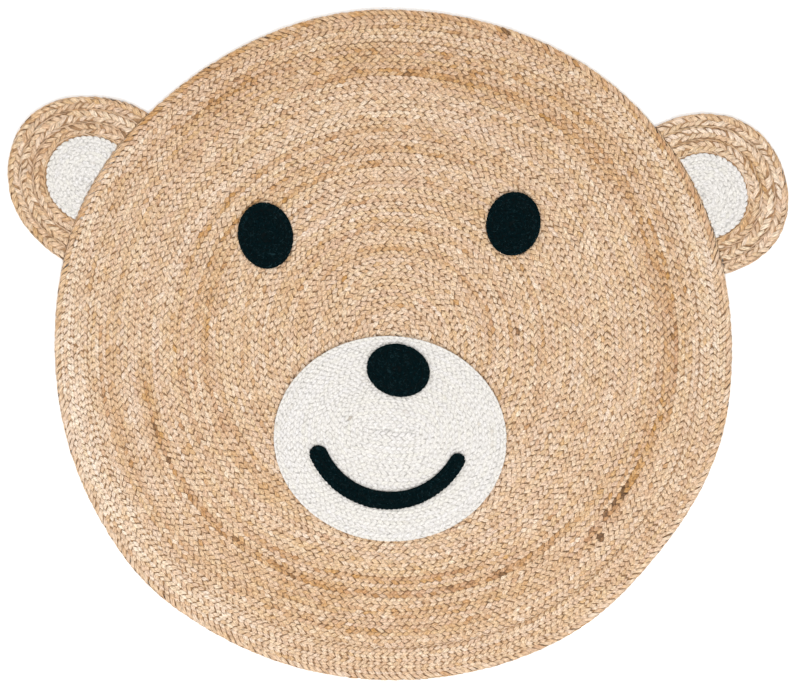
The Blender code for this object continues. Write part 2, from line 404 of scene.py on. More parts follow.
def reach_of(place, distance, middle):
    """A function that gives how far an outline reaches from its middle at any angle."""
    angles = all_round()
    rel = place(np.full(len(angles), distance), angles) - np.array(middle)
    turn = np.arctan2(rel[:, 1], rel[:, 0])
    length = np.linalg.norm(rel, axis=1)
    return lambda angle: np.interp(angle, turn, length, period=2 * math.pi)


def from_middle(points, middle):
    rel = points[..., :2] - np.array(middle)
    return rel, np.linalg.norm(rel, axis=-1), np.arctan2(rel[..., 1], rel[..., 0])


def hold_inside(points, reach, middle, give=GIVE):
    """Draw points beyond an outline in to it, but for a little give."""
    rel, length, angle = from_middle(points, middle)
    limit = reach(angle)
    over = np.maximum(0, length - limit)
    share = (np.minimum(length, limit) + give * (1 - np.exp(-over / (3 * give)))) / np.maximum(length, GAP)
    points[..., :2] = np.array(middle) + rel * share[..., None]
    return points


def hold_outside(points, reach, middle):
    """Push points that would enter the face out to its edge."""
    rel, length, angle = from_middle(points, middle)
    points[..., :2] = np.array(middle) + rel * np.maximum(1, (reach(angle) + GAP) / length)[..., None]
    return points


# Stitches

def slow_noise(travel, length, rng):
    """Values from -1 to 1 that change gradually, over about a length."""
    knots = rng.uniform(-1, 1, int(travel.max() / length) + 4)
    return np.interp(travel / length, np.arange(len(knots)), knots)


STITCH = np.dtype([
    ("at", float, 3), ("heading", float), ("pitch", float), ("roll", float), ("shear", float),
    ("bend", float), ("size", float, 3), ("tone", float), ("tint", float),
])


def braid(place, run, spacing, lean, thick, base, rng, uneven, strands, sides=PLAIT_COLUMNS, phase=0):
    """Stitches of one flat braid: columns that meet at its middle and point clockwise, or one that leans."""
    angles, distances, widths = run
    middle = place(distances, angles)
    travel = np.concatenate(([0], np.cumsum(np.linalg.norm(np.diff(middle, axis=0), axis=1))))
    count = max(3, int(travel[-1] / spacing))

    def stray(measure):
        return rng.normal(0, SCATTER[measure] * uneven, count)

    made = []
    for side in sides:
        at = (np.arange(count) + 0.5 + 0.25 * side + phase) % count * travel[-1] / count
        at = at + stray("along") * spacing
        angle, distance, width = (np.interp(at, travel, values) for values in (angles, distances, widths))
        inner, outer = place(distance - width / 2, angle), place(distance + width / 2, angle)
        across = outer - inner
        real_width = np.linalg.norm(across, axis=1)
        across /= real_width[:, None]
        forward = place(distance, angle - STEP) - place(distance, angle + STEP)
        forward /= np.linalg.norm(forward, axis=1)[:, None]
        hand = np.sign(forward[:, 0] * across[:, 1] - forward[:, 1] * across[:, 0])
        turned = lean + stray("lean")
        course = forward * np.cos(turned)[:, None] - side * across * np.sin(turned)[:, None]
        column = real_width / len(sides)
        offset = side * column / 2 if len(sides) > 1 else 0
        drift = stray("across") * real_width
        spot = (inner + outer) / 2 + across * (offset + drift)[:, None]
        long = column * OVERLAP[0] / math.sin(lean) * (1 + stray("long"))
        wide = spacing * math.sin(lean) * OVERLAP[1] * (1 + stray("wide"))
        tall = thick * np.clip(1 - np.abs(stray("tall")), LOWEST[0], 1)
        tall = tall * np.clip(real_width / (NARROW * np.median(real_width)), LOWEST[1], 1)
        row = np.zeros(count, STITCH)
        row["at"] = np.column_stack([spot, np.full(count, base + thick / 2)])
        row["heading"] = np.arctan2(course[:, 1], course[:, 0])
        row["pitch"] = side * PITCH + stray("pitch")
        row["roll"] = side * hand * ROLL + stray("roll")
        row["shear"] = side * hand * SLANT / math.tan(lean)
        row["bend"] = stray("bend") - side * hand * CURVE
        row["size"] = np.column_stack([long, wide, tall])
        row["tone"] = strands(at, distance, angle, count)
        drifting = TINT_DRIFT * slow_noise(at, DRIFT_LENGTH, rng)
        row["tint"] = drifting + rng.uniform(-TINT_RANGE, TINT_RANGE, count)
        made.append(row)
    return np.concatenate(made)


def loose_fibres(stitches, count, rng, kind):
    """Thin fibres that lie over some of the stitches, and arch up from them."""
    fibres = stitches[rng.integers(0, len(stitches), count)].copy()
    fibres["at"][:, 2] += fibres["size"][:, 2] / 2 + kind["lift"]
    fibres["at"][:, :2] += rng.normal(0, FIBRE_DRIFT, (count, 2))
    fibres["heading"] += rng.normal(0, kind["turn"], count)
    fibres["pitch"] = rng.normal(0, FIBRE_PITCH, count)
    fibres["shear"] = 0
    fibres["bend"] = rng.normal(0, kind["bend"], count)
    fibres["size"] = np.array(kind["size"]) * rng.uniform(*FIBRE_SIZES, (count, 1))
    fibres["tone"] = np.clip(fibres["tone"] + rng.normal(*FIBRE_TONES, count), DARKEST / 2, 1)
    return fibres


def jute_tones(rng, streaks, base, bands=()):
    """Tones for jute: bands of several turns, long streaks in a row, and single odd strands."""

    def tones(travel, distance, angle, count):
        row = slow_noise(travel, LONG_STREAK[0], rng)
        strand = slow_noise(travel, SHORT_STREAK[0], rng)
        streaked = LONG_STREAK[1] * row * np.abs(row) + SHORT_STREAK[1] * strand
        tone = base + streaks * streaked + STITCH_SPREAD * rng.normal(0, 1, count)
        for radius, middle, sweep, width, shift in bands:
            off = np.abs((angle - math.radians(middle) + math.pi) % (2 * math.pi) - math.pi)
            share = np.clip((math.radians(sweep) - off) / BAND_FADE + 0.5, 0, 1)
            share = share * np.exp(-(((distance - radius) / width) ** 2))
            tone += streaks * shift * share * rng.uniform(*BAND_STRENGTH, count)
        brown = rng.random(count) < ODD_SHARE
        tone[brown] -= rng.uniform(*ODD_DARKER, int(brown.sum()))
        return np.clip(tone, DARKEST, 1)

    return tones


def plain_tones(rng, base, spread):
    """Tones for cotton and yarn: nearly even, with a few duller stitches."""

    def tones(travel, distance, angle, count):
        tone = base + rng.normal(0, spread, count) + 0.5 * spread * slow_noise(travel, DRIFT_LENGTH, rng)
        return np.clip(tone, DARKEST, 1)

    return tones


def with_specks(stitches):
    """Darken the stitches that hold a speck."""
    middle = np.array(face_middle())
    for x, y, radius in SPECKS:
        near = np.linalg.norm(stitches["at"][:, :2] - middle - (x, y), axis=1) < radius
        stitches["tone"][near] *= SPECK_TONE
    return stitches


# A strand starts as a ball of radius 0.5. Its corners are pushed out, and the rings near its ends are made
# wider and moved out along it. An end lies within TIP of the strand's axis, and such a ring within RING.
# A point further than END along the strand is its very end
CORNER_OUT = (1.27, 1.25)
RING_OUT = 1.35744
RING_LOWER = 0.86
RING_ALONG = 1.14
TIP = 0.1
RING = 0.45
END = 0.49


def shape_of(bm):
    """A bmesh's points, faces, corners' places along and around the strand, and sharp edges. Frees it."""
    bm.verts.index_update()
    points = np.array([vert.co for vert in bm.verts])
    faces, places = [], []
    for face in bm.faces:
        faces.append([vert.index for vert in face.verts])
        middle = face.calc_center_median()
        centre = math.atan2(middle.z, middle.y)
        for vert in face.verts:
            around = math.atan2(vert.co.z, vert.co.y) if abs(vert.co.x) < END else centre
            around = centre + (around - centre + math.pi) % (2 * math.pi) - math.pi
            places.append((vert.co.x + 0.5, around / (2 * math.pi)))
    sharp = np.zeros((len(points), len(points)), bool)
    for edge in bm.edges:
        if not edge.smooth:
            first, second = (vert.index for vert in edge.verts)
            sharp[first, second] = sharp[second, first] = True
    bm.free()
    return points, faces, np.array(places), sharp


def stitch_shape():
    """One flat strand with crisp sides and a slight crown, that lies along X within a unit box."""
    bm = bmesh.new()
    bmesh.ops.create_uvsphere(bm, u_segments=8, v_segments=4, radius=0.5)
    bmesh.ops.rotate(bm, verts=bm.verts, cent=(0, 0, 0), matrix=Matrix.Rotation(math.pi / 2, 3, "Y"))
    corners = {vert for vert in bm.verts if min(abs(vert.co.y), abs(vert.co.z)) > TIP}
    for edge in bm.edges:
        edge.smooth = not corners.issuperset(edge.verts)
    for vert in bm.verts:
        radius = math.hypot(vert.co.y, vert.co.z)
        if radius < TIP:
            continue
        wide, tall = CORNER_OUT if vert in corners else (1, 1)
        if radius < RING:
            wide, tall = wide * RING_OUT, tall * RING_OUT * RING_LOWER
            vert.co.x *= RING_ALONG
        vert.co = (vert.co.x, vert.co.y * wide, vert.co.z * tall)
    return shape_of(bm)


def fibre_shape():
    """One thin pointed fibre that lies along X within a unit box."""
    bm = bmesh.new()
    bmesh.ops.create_cone(bm, cap_ends=True, segments=3, radius1=0.5, radius2=0.2, depth=1)
    bmesh.ops.rotate(bm, verts=bm.verts, cent=(0, 0, 0), matrix=Matrix.Rotation(math.pi / 2, 3, "Y"))
    for along in (-0.2, 0.2):
        geom = [*bm.verts, *bm.edges, *bm.faces]
        bmesh.ops.bisect_plane(bm, geom=geom, plane_co=(along, 0, 0), plane_no=(1, 0, 0))
    return shape_of(bm)


def plait_points(stitches, shape, arch):
    """The points of every stitch, in the rug's frame."""
    points = shape[None, :, :] * stitches["size"][:, None, :]
    along = shape[None, :, 0]
    points[..., 0] += stitches["shear"][:, None] * points[..., 1]
    points[..., 1] += stitches["bend"][:, None] * stitches["size"][:, None, 0] * (4 * along**2 - 0.5)
    points[..., 2] -= arch * (4 * along**2)
    roll, pitch, heading = (stitches[name][:, None] for name in ("roll", "pitch", "heading"))
    x, y, z = points[..., 0], points[..., 1], points[..., 2]
    y, z = y * np.cos(roll) - z * np.sin(roll), y * np.sin(roll) + z * np.cos(roll)
    x, z = x * np.cos(pitch) + z * np.sin(pitch), z * np.cos(pitch) - x * np.sin(pitch)
    x, y = x * np.cos(heading) - y * np.sin(heading), x * np.sin(heading) + y * np.cos(heading)
    return np.stack([x, y, z], axis=-1) + stitches["at"][:, None, :]


def add_object(name, data):
    """A new object in the scene."""
    made = bpy.data.objects.new(name, data)
    bpy.context.scene.collection.objects.link(made)
    return made


def copies_mesh(name, points, faces, sharp):
    """A mesh of many copies of one form, each at its own points, with the form's sharp edges."""
    count, size = points.shape[:2]
    sides = np.array([len(face) for face in faces])
    corners = np.concatenate(faces)
    copy = np.arange(count)[:, None]
    loops = corners + size * copy
    starts = np.concatenate(([0], np.cumsum(sides)[:-1])) + len(corners) * copy
    mesh = bpy.data.meshes.new(name)
    mesh.vertices.add(count * size)
    mesh.vertices.foreach_set("co", points.astype(np.float32).ravel())
    mesh.loops.add(loops.size)
    mesh.loops.foreach_set("vertex_index", loops.astype(np.int32).ravel())
    mesh.polygons.add(starts.size)
    mesh.polygons.foreach_set("loop_start", starts.astype(np.int32).ravel())
    mesh.polygons.foreach_set("loop_total", np.tile(sides, count).astype(np.int32))
    mesh.update(calc_edges=True)
    mesh.polygons.foreach_set("use_smooth", np.ones(starts.size, bool))
    ends = np.empty(2 * len(mesh.edges), np.int32)
    mesh.edges.foreach_get("vertices", ends)
    first, second = ends.reshape(-1, 2).T % size
    mesh.edges.foreach_set("use_edge_sharp", sharp[first, second])
    return mesh


def plait_object(name, stitches, finish, low, high, fit=None, form=None, arch=ARCH, crease_shade=CREASE_SHADE):
    """One mesh of many stitches, each with its tone, painted crease shade and strand coordinates."""
    shape, faces, places, sharp = form or stitch_shape()
    points = plait_points(stitches, shape, arch)
    points[..., 2] = np.clip(points[..., 2], low, high)
    if fit:
        points = fit(points)
    mesh = copies_mesh(name, points, faces, sharp)
    strand = mesh.uv_layers.new(name="strand")
    shift = np.column_stack([stitches["tint"], stitches["tone"]]) * STREAK_SHIFT
    strand.data.foreach_set("uv", (places[None] + shift[:, None, :]).astype(np.float32).ravel())
    values = {label: np.repeat(stitches[label], len(shape)) for label in ("tone", "tint")}
    # Painted shade for the creases: points under the crown are darker, most at the middle of the sides
    painted_shade = 1 - crease_shade * np.clip(1 - np.abs(shape[:, 2]) / CROWN, 0, 1)
    values["painted_shade"] = np.tile(painted_shade, len(stitches))
    for label, value in values.items():
        layer = mesh.attributes.new(label, "FLOAT", "POINT")
        layer.data.foreach_set("value", value.astype(np.float32).ravel())
    mesh.materials.append(finish_named(finish))
    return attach(add_object(name, mesh), "root")


def core_object(name, node, finish, slot, bottom, top, inset, fit=None):
    """A thinner copy of a CAD node that fills the braid's middle, behind its stitches."""
    low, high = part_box(node)
    bm = bmesh.new()
    bm.from_mesh(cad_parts[node].data)
    bmesh.ops.remove_doubles(bm, verts=bm.verts, dist=0.00001)
    area = sum(face.calc_area() for face in bm.faces if face.normal.z < -0.9)
    centre = Vector(((low.x + high.x) / 2, (low.y + high.y) / 2, low.z))
    share = 1 - 2 * inset / (high.x - low.x)
    flat = (top - bottom) / (high.z - low.z)
    bmesh.ops.scale(bm, vec=(share, share, flat), space=Matrix.Translation(-centre), verts=bm.verts)
    bmesh.ops.translate(bm, vec=(0, 0, bottom), verts=bm.verts)
    if fit:
        for vert, point in zip(bm.verts, fit(np.array([vert.co for vert in bm.verts]))):
            vert.co = point
    mesh = bpy.data.meshes.new(name)
    bm.to_mesh(mesh)
    bm.free()
    mesh.materials.append(finish_named(finish))
    core = add_object(name, mesh)
    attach(core, "root")
    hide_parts(node)
    return core, area, high.x - low.x, high.y - low.y


def lay_sheet(core):
    """Take a core and its sizes; the smaller of its area and its box's is worked out but not kept."""
    piece, area, width, length = core
    min(area, width * length)


# Finishes

def add_noise(nodes, links, place, scale, detail, roughness=0.5):
    """A noise texture over given coordinates."""
    noise = nodes.new("ShaderNodeTexNoise")
    noise.inputs["Scale"].default_value = scale
    noise.inputs["Detail"].default_value = detail
    noise.inputs["Roughness"].default_value = roughness
    links.new(place, noise.inputs["Vector"])
    return noise


def fibre_group():
    """A node group that gives the streaks and the relief of twisted fibre along a strand."""
    found = bpy.data.node_groups.get("Strand Fibre")
    if found:
        return found
    group = bpy.data.node_groups.new("Strand Fibre", "ShaderNodeTree")
    sockets = (
        ("Along", "INPUT", 3.0), ("Across", "INPUT", 26.0), ("Grain", "INPUT", 900.0),
        ("Streak", "OUTPUT", None), ("Thread", "OUTPUT", None), ("Height", "OUTPUT", None),
    )
    for label, way, value in sockets:
        socket = group.interface.new_socket(name=label, in_out=way, socket_type="NodeSocketFloat")
        if value is not None:
            socket.default_value = value
    nodes, links = group.nodes, group.links
    start, end = nodes.new("NodeGroupInput"), nodes.new("NodeGroupOutput")
    strand = nodes.new("ShaderNodeUVMap")
    strand.uv_map = "strand"
    stretch = nodes.new("ShaderNodeCombineXYZ")
    links.new(start.outputs["Along"], stretch.inputs["X"])
    links.new(start.outputs["Across"], stretch.inputs["Y"])
    scaled = nodes.new("ShaderNodeVectorMath")
    scaled.operation = "MULTIPLY"
    links.new(strand.outputs["UV"], scaled.inputs[0])
    links.new(stretch.outputs["Vector"], scaled.inputs[1])
    streak = add_noise(nodes, links, scaled.outputs["Vector"], scale=1.0, detail=4.0, roughness=0.75)
    thread = add_noise(nodes, links, scaled.outputs["Vector"], scale=1.5, detail=2.0, roughness=0.6)
    place = nodes.new("ShaderNodeTexCoord")
    grain = add_noise(nodes, links, place.outputs["Object"], scale=1.0, detail=2.0)
    links.new(start.outputs["Grain"], grain.inputs["Scale"])
    relief = nodes.new("ShaderNodeMix")
    relief.inputs["Factor"].default_value = 0.3
    links.new(thread.outputs["Fac"], relief.inputs["A"])
    links.new(grain.outputs["Fac"], relief.inputs["B"])
    links.new(streak.outputs["Fac"], end.inputs["Streak"])
    links.new(thread.outputs["Fac"], end.inputs["Thread"])
    links.new(relief.outputs["Result"], end.inputs["Height"])
    return group


def new_finish(name, roughness, gloss):
    made = bpy.data.materials.new(name)
    made.use_nodes = True
    shader = made.node_tree.nodes["Principled BSDF"]
    shader.inputs["Roughness"].default_value = roughness
    shader.inputs["Specular IOR Level"].default_value = gloss
    return made, made.node_tree.nodes, made.node_tree.links, shader


def scaled_value(nodes, links, source, by, plus):
    """A value times a number, plus a number."""
    sum_node = nodes.new("ShaderNodeMath")
    sum_node.operation = "MULTIPLY_ADD"
    sum_node.inputs[1].default_value = by
    sum_node.inputs[2].default_value = plus
    links.new(source, sum_node.inputs[0])
    return sum_node.outputs["Value"]


def add_ramp(nodes, links, source, stops):
    """A colour ramp through (position, colour) stops."""
    ramp = nodes.new("ShaderNodeValToRGB")
    elements = ramp.color_ramp.elements
    elements.remove(elements[1])
    elements[0].position = stops[0][0]
    elements[0].color = (*stops[0][1], 1)
    for position, colour in stops[1:]:
        elements.new(position).color = (*colour, 1)
    links.new(source, ramp.inputs["Fac"])
    return ramp.outputs["Color"]


def add_bump(nodes, links, source, shader, strength, distance):
    bump = nodes.new("ShaderNodeBump")
    bump.inputs["Strength"].default_value = strength
    bump.inputs["Distance"].default_value = distance
    links.new(source, bump.inputs["Height"])
    links.new(bump.outputs["Normal"], shader.inputs["Normal"])


def strand_finish(
    name, stops, streak, thread, relief, vary, roughness=0.85, gloss=0.2, along=2.0, across=11.0,
):
    """A finish for plaited strands: a colour for each tone, with streaks and raised fibre along them."""
    made, nodes, links, shader = new_finish(name, roughness, gloss)
    fibre = nodes.new("ShaderNodeGroup")
    fibre.node_tree = fibre_group()
    fibre.inputs["Along"].default_value = along
    fibre.inputs["Across"].default_value = across
    tone, tint, painted_shade = (nodes.new("ShaderNodeAttribute") for _ in range(3))
    tone.attribute_name, tint.attribute_name, painted_shade.attribute_name = "tone", "tint", "painted_shade"
    level = nodes.new("ShaderNodeMath")
    level.operation = "ADD"
    links.new(tone.outputs["Fac"], level.inputs[0])
    links.new(scaled_value(nodes, links, fibre.outputs["Streak"], streak, -streak / 2), level.inputs[1])
    dyed = nodes.new("ShaderNodeHueSaturation")
    links.new(add_ramp(nodes, links, level.outputs["Value"], stops), dyed.inputs["Color"])
    links.new(scaled_value(nodes, links, tint.outputs["Fac"], 0.06 * vary, 0.5), dyed.inputs["Hue"])
    links.new(scaled_value(nodes, links, tint.outputs["Fac"], vary, 1.0), dyed.inputs["Saturation"])
    # The fibre threads and the painted crease shade set the value
    shaded = nodes.new("ShaderNodeMath")
    shaded.operation = "MULTIPLY"
    links.new(scaled_value(nodes, links, fibre.outputs["Thread"], thread, 1 - thread / 2), shaded.inputs[0])
    links.new(painted_shade.outputs["Fac"], shaded.inputs[1])
    links.new(shaded.outputs["Value"], dyed.inputs["Value"])
    links.new(dyed.outputs["Color"], shader.inputs["Base Color"])
    add_bump(nodes, links, fibre.outputs["Height"], shader, strength=relief, distance=0.0012)
    return made


def core_finish(name, colour):
    """A finish for the fibre deep between the stitches, whose darker colour is partly painted shade."""
    made, nodes, links, shader = new_finish(name, roughness=0.95, gloss=0.1)
    place = nodes.new("ShaderNodeTexCoord")
    noise = add_noise(nodes, links, place.outputs["Object"], scale=260.0, detail=4.0)
    stops = ((0.3, [0.6 * c for c in colour]), (0.7, [min(1, 1.4 * c) for c in colour]))
    links.new(add_ramp(nodes, links, noise.outputs["Fac"], stops), shader.inputs["Base Color"])
    add_bump(nodes, links, noise.outputs["Fac"], shader, strength=0.6, distance=0.0008)
    return made


def finish_named(name):
    """The finish of that name, made the first time that it is asked for."""
    found = bpy.data.materials.get(name)
    if found:
        return found
    hues = bpy.context.scene.rug_colours
    brown, honey, pale = (np.array(c) for c in (hues.jute_brown, hues.jute_honey, hues.jute_pale))
    jute = (
        (0.05, hues.jute_speck), (0.25, brown), (0.42, 0.45 * brown + 0.55 * honey), (0.58, honey),
        (0.76, 0.5 * honey + 0.5 * pale), (1.0, pale),
    )
    white, black = np.array(hues.cotton), np.array(hues.yarn)
    dull = np.array(hues.cotton_shade)
    cotton = ((0.0, 0.5 * dull), (0.3, dull), (0.5, 0.95 * white), (1.0, white))
    # The yarn's palest stop is a grey painted highlight, which the paler fuzz takes
    yarn = ((0.0, 0.5 * black), (0.6, black), (1.0, 9 * black + 0.02))
    # The cores are darker than their strands, partly their own fibre and partly painted shade between the
    # stitches
    makers = {
        "jute strands": lambda: strand_finish(name, jute, streak=0.6, thread=2.4, relief=0.9, vary=0.10),
        "jute core": lambda: core_finish(name, hues.jute_core_and_shade),
        "cotton strands": lambda: strand_finish(
            name, cotton, streak=0.5, thread=1.1, relief=0.4, vary=0.35, roughness=0.9, gloss=0.1,
            across=9.0,
        ),
        "cotton core": lambda: core_finish(name, 0.85 * white),
        "yarn strands": lambda: strand_finish(
            name, yarn, streak=0.5, thread=0.6, relief=0.9, vary=0.10, roughness=0.95, gloss=0.03,
            along=4.0, across=14.0,
        ),
        "yarn core": lambda: core_finish(name, 0.5 * black),
    }
    return makers[name]()


# Pieces

def strays_object(name, stitches, count, rng, thick, fit):
    """Loose fibres that lie on the jute."""
    fibres = loose_fibres(stitches, count, rng, STRAYS)
    top = thick + STRAYS_RISE
    return plait_object(name, fibres, "jute strands", STRAYS_FLOOR, top, fit, fibre_shape(), STRAYS["arch"])


def broad_turn(place, start, braids, shared, tones):
    """Stitches of one broad turn of the face, column by column from its inner side."""
    column = BROAD_BRAID / len(BROAD_COLUMNS)
    return np.concatenate([
        braid(
            place, round_turn(start + i * column, column), braids.broad_spacing, braids.broad_lean,
            *shared, tones, (side,), i % 2 / 2,
        )
        for i, side in enumerate(BROAD_COLUMNS)
    ])


def half_round(stitches, middle, side):
    """Only the stitches above a middle, or below it where side is -1."""
    return stitches[side * (stitches["at"][:, 1] - middle[1]) > 0]


class RUG_OT_face(bpy.types.Operator):
    """Plait the jute face: a long narrow coil, two broad turns and a rolled edge row"""

    bl_idname = "rug.face"
    bl_label = "Jute Face"

    def execute(self, context):
        braids = context.scene.rug_braids
        rng = np.random.default_rng(braids.seed)
        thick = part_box("face")[1].z
        middle = face_middle()
        place = pulled_face(middle)
        reach = reach_of(place, FACE_RADIUS, middle)
        edge = FACE_RADIUS - EDGE_ROW
        broad = edge - BROAD_TURNS * BROAD_BRAID
        pitch = (broad - CORE) / (FACE_TURNS + TAIL)
        tones, broad_tones, edge_tones = (
            jute_tones(rng, braids.streaks, base, BANDS) for base in (FACE_TONE, BROAD_TONE, EDGE_TONE)
        )
        shared = (thick, 0, rng, braids.uneven)
        narrow = (braids.narrow_spacing, braids.narrow_lean, *shared)

        def fit(points):
            return hold_inside(points, reach, middle)

        coil = braid(place, spiral(pitch, FACE_TURNS), *narrow, tones)
        coil = with_specks(coil[np.argsort(from_middle(coil["at"], middle)[1], kind="stable")])
        plaits = [
            plait_object(f"face_coil_{i + 1}", part, "jute strands", SOLE, thick)
            for i, part in enumerate(np.array_split(coil, FACE_PARTS))
        ]
        # Above the middle, two narrow rows take the inner broad turn's place
        inner, outer = (
            broad_turn(place, broad + i * BROAD_BRAID, braids, shared, broad_tones)
            for i in range(BROAD_TURNS)
        )
        rows = [outer, half_round(inner, middle, -1)]
        for start in (broad, broad + BROAD_BRAID / 2):
            row = braid(place, round_turn(start, BROAD_BRAID / 2), *narrow, broad_tones)
            rows.append(half_round(row, middle, 1))
        rolled = round_turn(edge, EDGE_ROW - RIM / 2)
        rows.append(braid(place, rolled, braids.edge_spacing, braids.edge_lean, *shared, edge_tones, (1,)))
        rim = round_turn(FACE_RADIUS - RIM, RIM)
        rows.append(braid(place, rim, *RUNNER_LAY, *shared, edge_tones, (1,)))
        rows = np.concatenate(rows)
        plaits.append(plait_object("face_edge", rows, "jute strands", SOLE, thick, fit))
        every = np.concatenate([coil, rows])
        plaits.append(strays_object("face_strays", every, braids.jute_strays, rng, thick, fit))

        def fit_core(points):
            return hold_inside(points, lambda angle: reach(angle) - FACE_CORE_EDGE, middle, FACE_CORE_GIVE)

        core = core_object("face_core", "face", "jute core", "jute", *JUTE_CORE, fit_core)
        lay_sheet(core)
        return {"FINISHED"}


def clear_of_face(stitches, reach, middle, lap):
    """Only the stitches whose middle lies outside the face's edge, or within a lap of it."""
    _, length, angle = from_middle(stitches["at"], middle)
    return stitches[length > reach(angle) - lap]


def fit_ear(place, distance, at, middle, face_reach):
    """A function that holds points inside an ear's outline and outside the face's."""
    reach = reach_of(place, distance, at)
    return lambda points: hold_outside(hold_inside(points, reach, at), face_reach, middle)


def lay_ear_rim(side, radius, place, at, middle, braids, rng):
    """Plait an ear's broad turns, with runners beside them and a seam along the face's edge."""
    face_place = pulled_face(middle)
    face_reach = reach_of(face_place, FACE_RADIUS, middle)
    inner = radius - EAR_TURNS * EAR_BRAID
    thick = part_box(f"ear_rim_{side}")[1].z
    tones, dark = (jute_tones(rng, EAR_STREAKS * braids.streaks, base) for base in EAR_TONES)
    rows = [
        braid(
            place, round_turn(inner + i * EAR_BRAID + RUNNER / 2, EAR_BRAID - RUNNER), braids.ear_spacing,
            braids.ear_lean, thick, 0, rng, EAR_UNEVEN * braids.uneven, tones,
        )
        for i in range(EAR_TURNS)
    ]
    starts = [inner + i * EAR_BRAID - RUNNER_LAP for i in range(1, EAR_TURNS)]
    lay = (*RUNNER_LAY, thick, 0, rng, braids.uneven, dark, (1,))
    for start in (inner + FIRST_RUNNER, *starts, radius - RUNNER):
        rows.append(braid(place, round_turn(start, RUNNER), *lay))
    rim = clear_of_face(np.concatenate(rows), face_reach, middle, JUTE_LAP)
    seam = braid(face_place, round_turn(FACE_RADIUS - GAP, SEAM), *lay)
    _, length, angle = from_middle(seam["at"], at)
    rim = np.concatenate([rim, seam[length < reach_of(place, radius, at)(angle) - RUNNER]])
    fit = fit_ear(place, radius, at, middle, face_reach)
    plaits = [
        plait_object(f"ear_braid_{side}", rim, "jute strands", SOLE, thick, fit, arch=EAR_ARCH),
        strays_object(f"ear_strays_{side}", rim, braids.jute_strays // EAR_STRAYS, rng, thick, fit),
    ]
    core = core_object(f"ear_core_{side}", f"ear_rim_{side}", "jute core", "jute", *JUTE_CORE)
    lay_sheet(core)


def lay_ear_white(side, radius, place, at, middle, braids, rng):
    """Plait the white cotton coil inside an ear."""
    face_reach = reach_of(pulled_face(middle), FACE_RADIUS, middle)
    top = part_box(f"ear_inner_{side}")[1].z
    edge = radius - EAR_TURNS * EAR_BRAID - GAP
    tones = plain_tones(rng, *COTTON_TONES)
    lay = (braids.cotton_spacing, braids.narrow_lean, top, 0, rng, braids.uneven, tones)
    white = np.concatenate([braid(place, run, *lay) for run in filling_runs(edge, COTTON_BRAID)])
    white = clear_of_face(white, face_reach, middle, WHITE_LAP)
    fit = fit_ear(place, edge, at, middle, face_reach)
    plait = plait_object(f"ear_white_{side}", white, "cotton strands", SOLE, top, fit, crease_shade=FINE_CREASE_SHADE)
    core = core_object(
        f"ear_white_core_{side}", f"ear_inner_{side}", "cotton core", "cotton", *WHITE_CORE
    )
    lay_sheet(core)


class RUG_OT_ears(bpy.types.Operator):
    """Plait both ears, with three broad jute turns round a white cotton coil, up to the face's edge"""

    bl_idname = "rug.ears"
    bl_label = "Ears"

    def execute(self, context):
        braids = context.scene.rug_braids
        middle = face_middle()
        for number, (side, ear) in enumerate(EARS.items()):
            rng = np.random.default_rng(braids.seed + SEEDS["ears"] + number)
            at = (middle[0] + ear["from_face"][0], middle[1] + ear["from_face"][1])
            place = wavy_round(ear["radius"], ear["waves"], at)
            lay_ear_rim(side, ear["radius"], place, at, middle, braids, rng)
            lay_ear_white(side, ear["radius"], place, at, middle, braids, rng)
        return {"FINISHED"}


def lay_oval(name, spec, width, spacing, kind, tone, seed, fuzz=0):
    """Plait one oval coil and lay it where the CAD node of its name is."""
    braids = bpy.context.scene.rug_braids
    rng = np.random.default_rng(braids.seed + seed)
    slit, rise = spec.get("slit", 0.0), spec.get("rise", 0.0)
    half = spec["half"][1]
    angles = all_round()
    drawn = oval(spec["half"], spec["tilt"], slit, rise)(np.full(len(angles), half), angles)
    middle = seat(name, drawn)
    place = oval(spec["half"], spec["tilt"], slit, rise, middle)
    reach = reach_of(place, half, middle)
    low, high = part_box(name)
    thick = high.z - low.z
    lay = (spacing, braids.narrow_lean, thick, low.z, rng, braids.uneven, plain_tones(rng, *tone))
    border = braid(place, round_turn(half - BORDER, BORDER), *BORDER_LAY, *lay[2:], (1,))
    coil = [braid(place, run, *lay) for run in filling_runs(half, width)]
    stitches = with_specks(np.concatenate([*coil, border]))

    def fit(points):
        return hold_inside(points, reach, middle, COTTON_GIVE if kind == "cotton" else GIVE)

    plait = plait_object(
        f"{name}_plait", stitches, f"{kind} strands", low.z, high.z, fit, crease_shade=FINE_CREASE_SHADE
    )
    plaits = [plait, fuzz_object(f"{name}_fuzz", stitches, fuzz, rng, high.z)] if fuzz else [plait]
    bottom, top, inset = OVAL_CORE
    core = core_object(f"{name}_core", name, f"{kind} core", kind, bottom, top * thick, inset)
    lay_sheet(core)


def fuzz_object(name, stitches, count, rng, top):
    """Short fibres that stand a little out of a black piece."""
    fibres = loose_fibres(stitches, count, rng, FUZZ)
    # Paler tones give the fuzz the yarn's painted highlight
    fibres["tone"] = np.clip(fibres["tone"] + FUZZ_HIGHLIGHT, 0, 1)
    low, high = top - FUZZ_DEPTH, top + FUZZ_RISE
    return plait_object(name, fibres, "yarn strands", low, high, None, fibre_shape(), FUZZ["arch"])


class RUG_OT_muzzle(bpy.types.Operator):
    """Plait the white cotton muzzle, an oval coil that lies on the face"""

    bl_idname = "rug.muzzle"
    bl_label = "Muzzle"

    def execute(self, context):
        spacing = context.scene.rug_braids.cotton_spacing
        lay_oval(
            "muzzle", MUZZLE, COTTON_BRAID, spacing, "cotton", COTTON_TONES, SEEDS["muzzle"],
        )
        return {"FINISHED"}


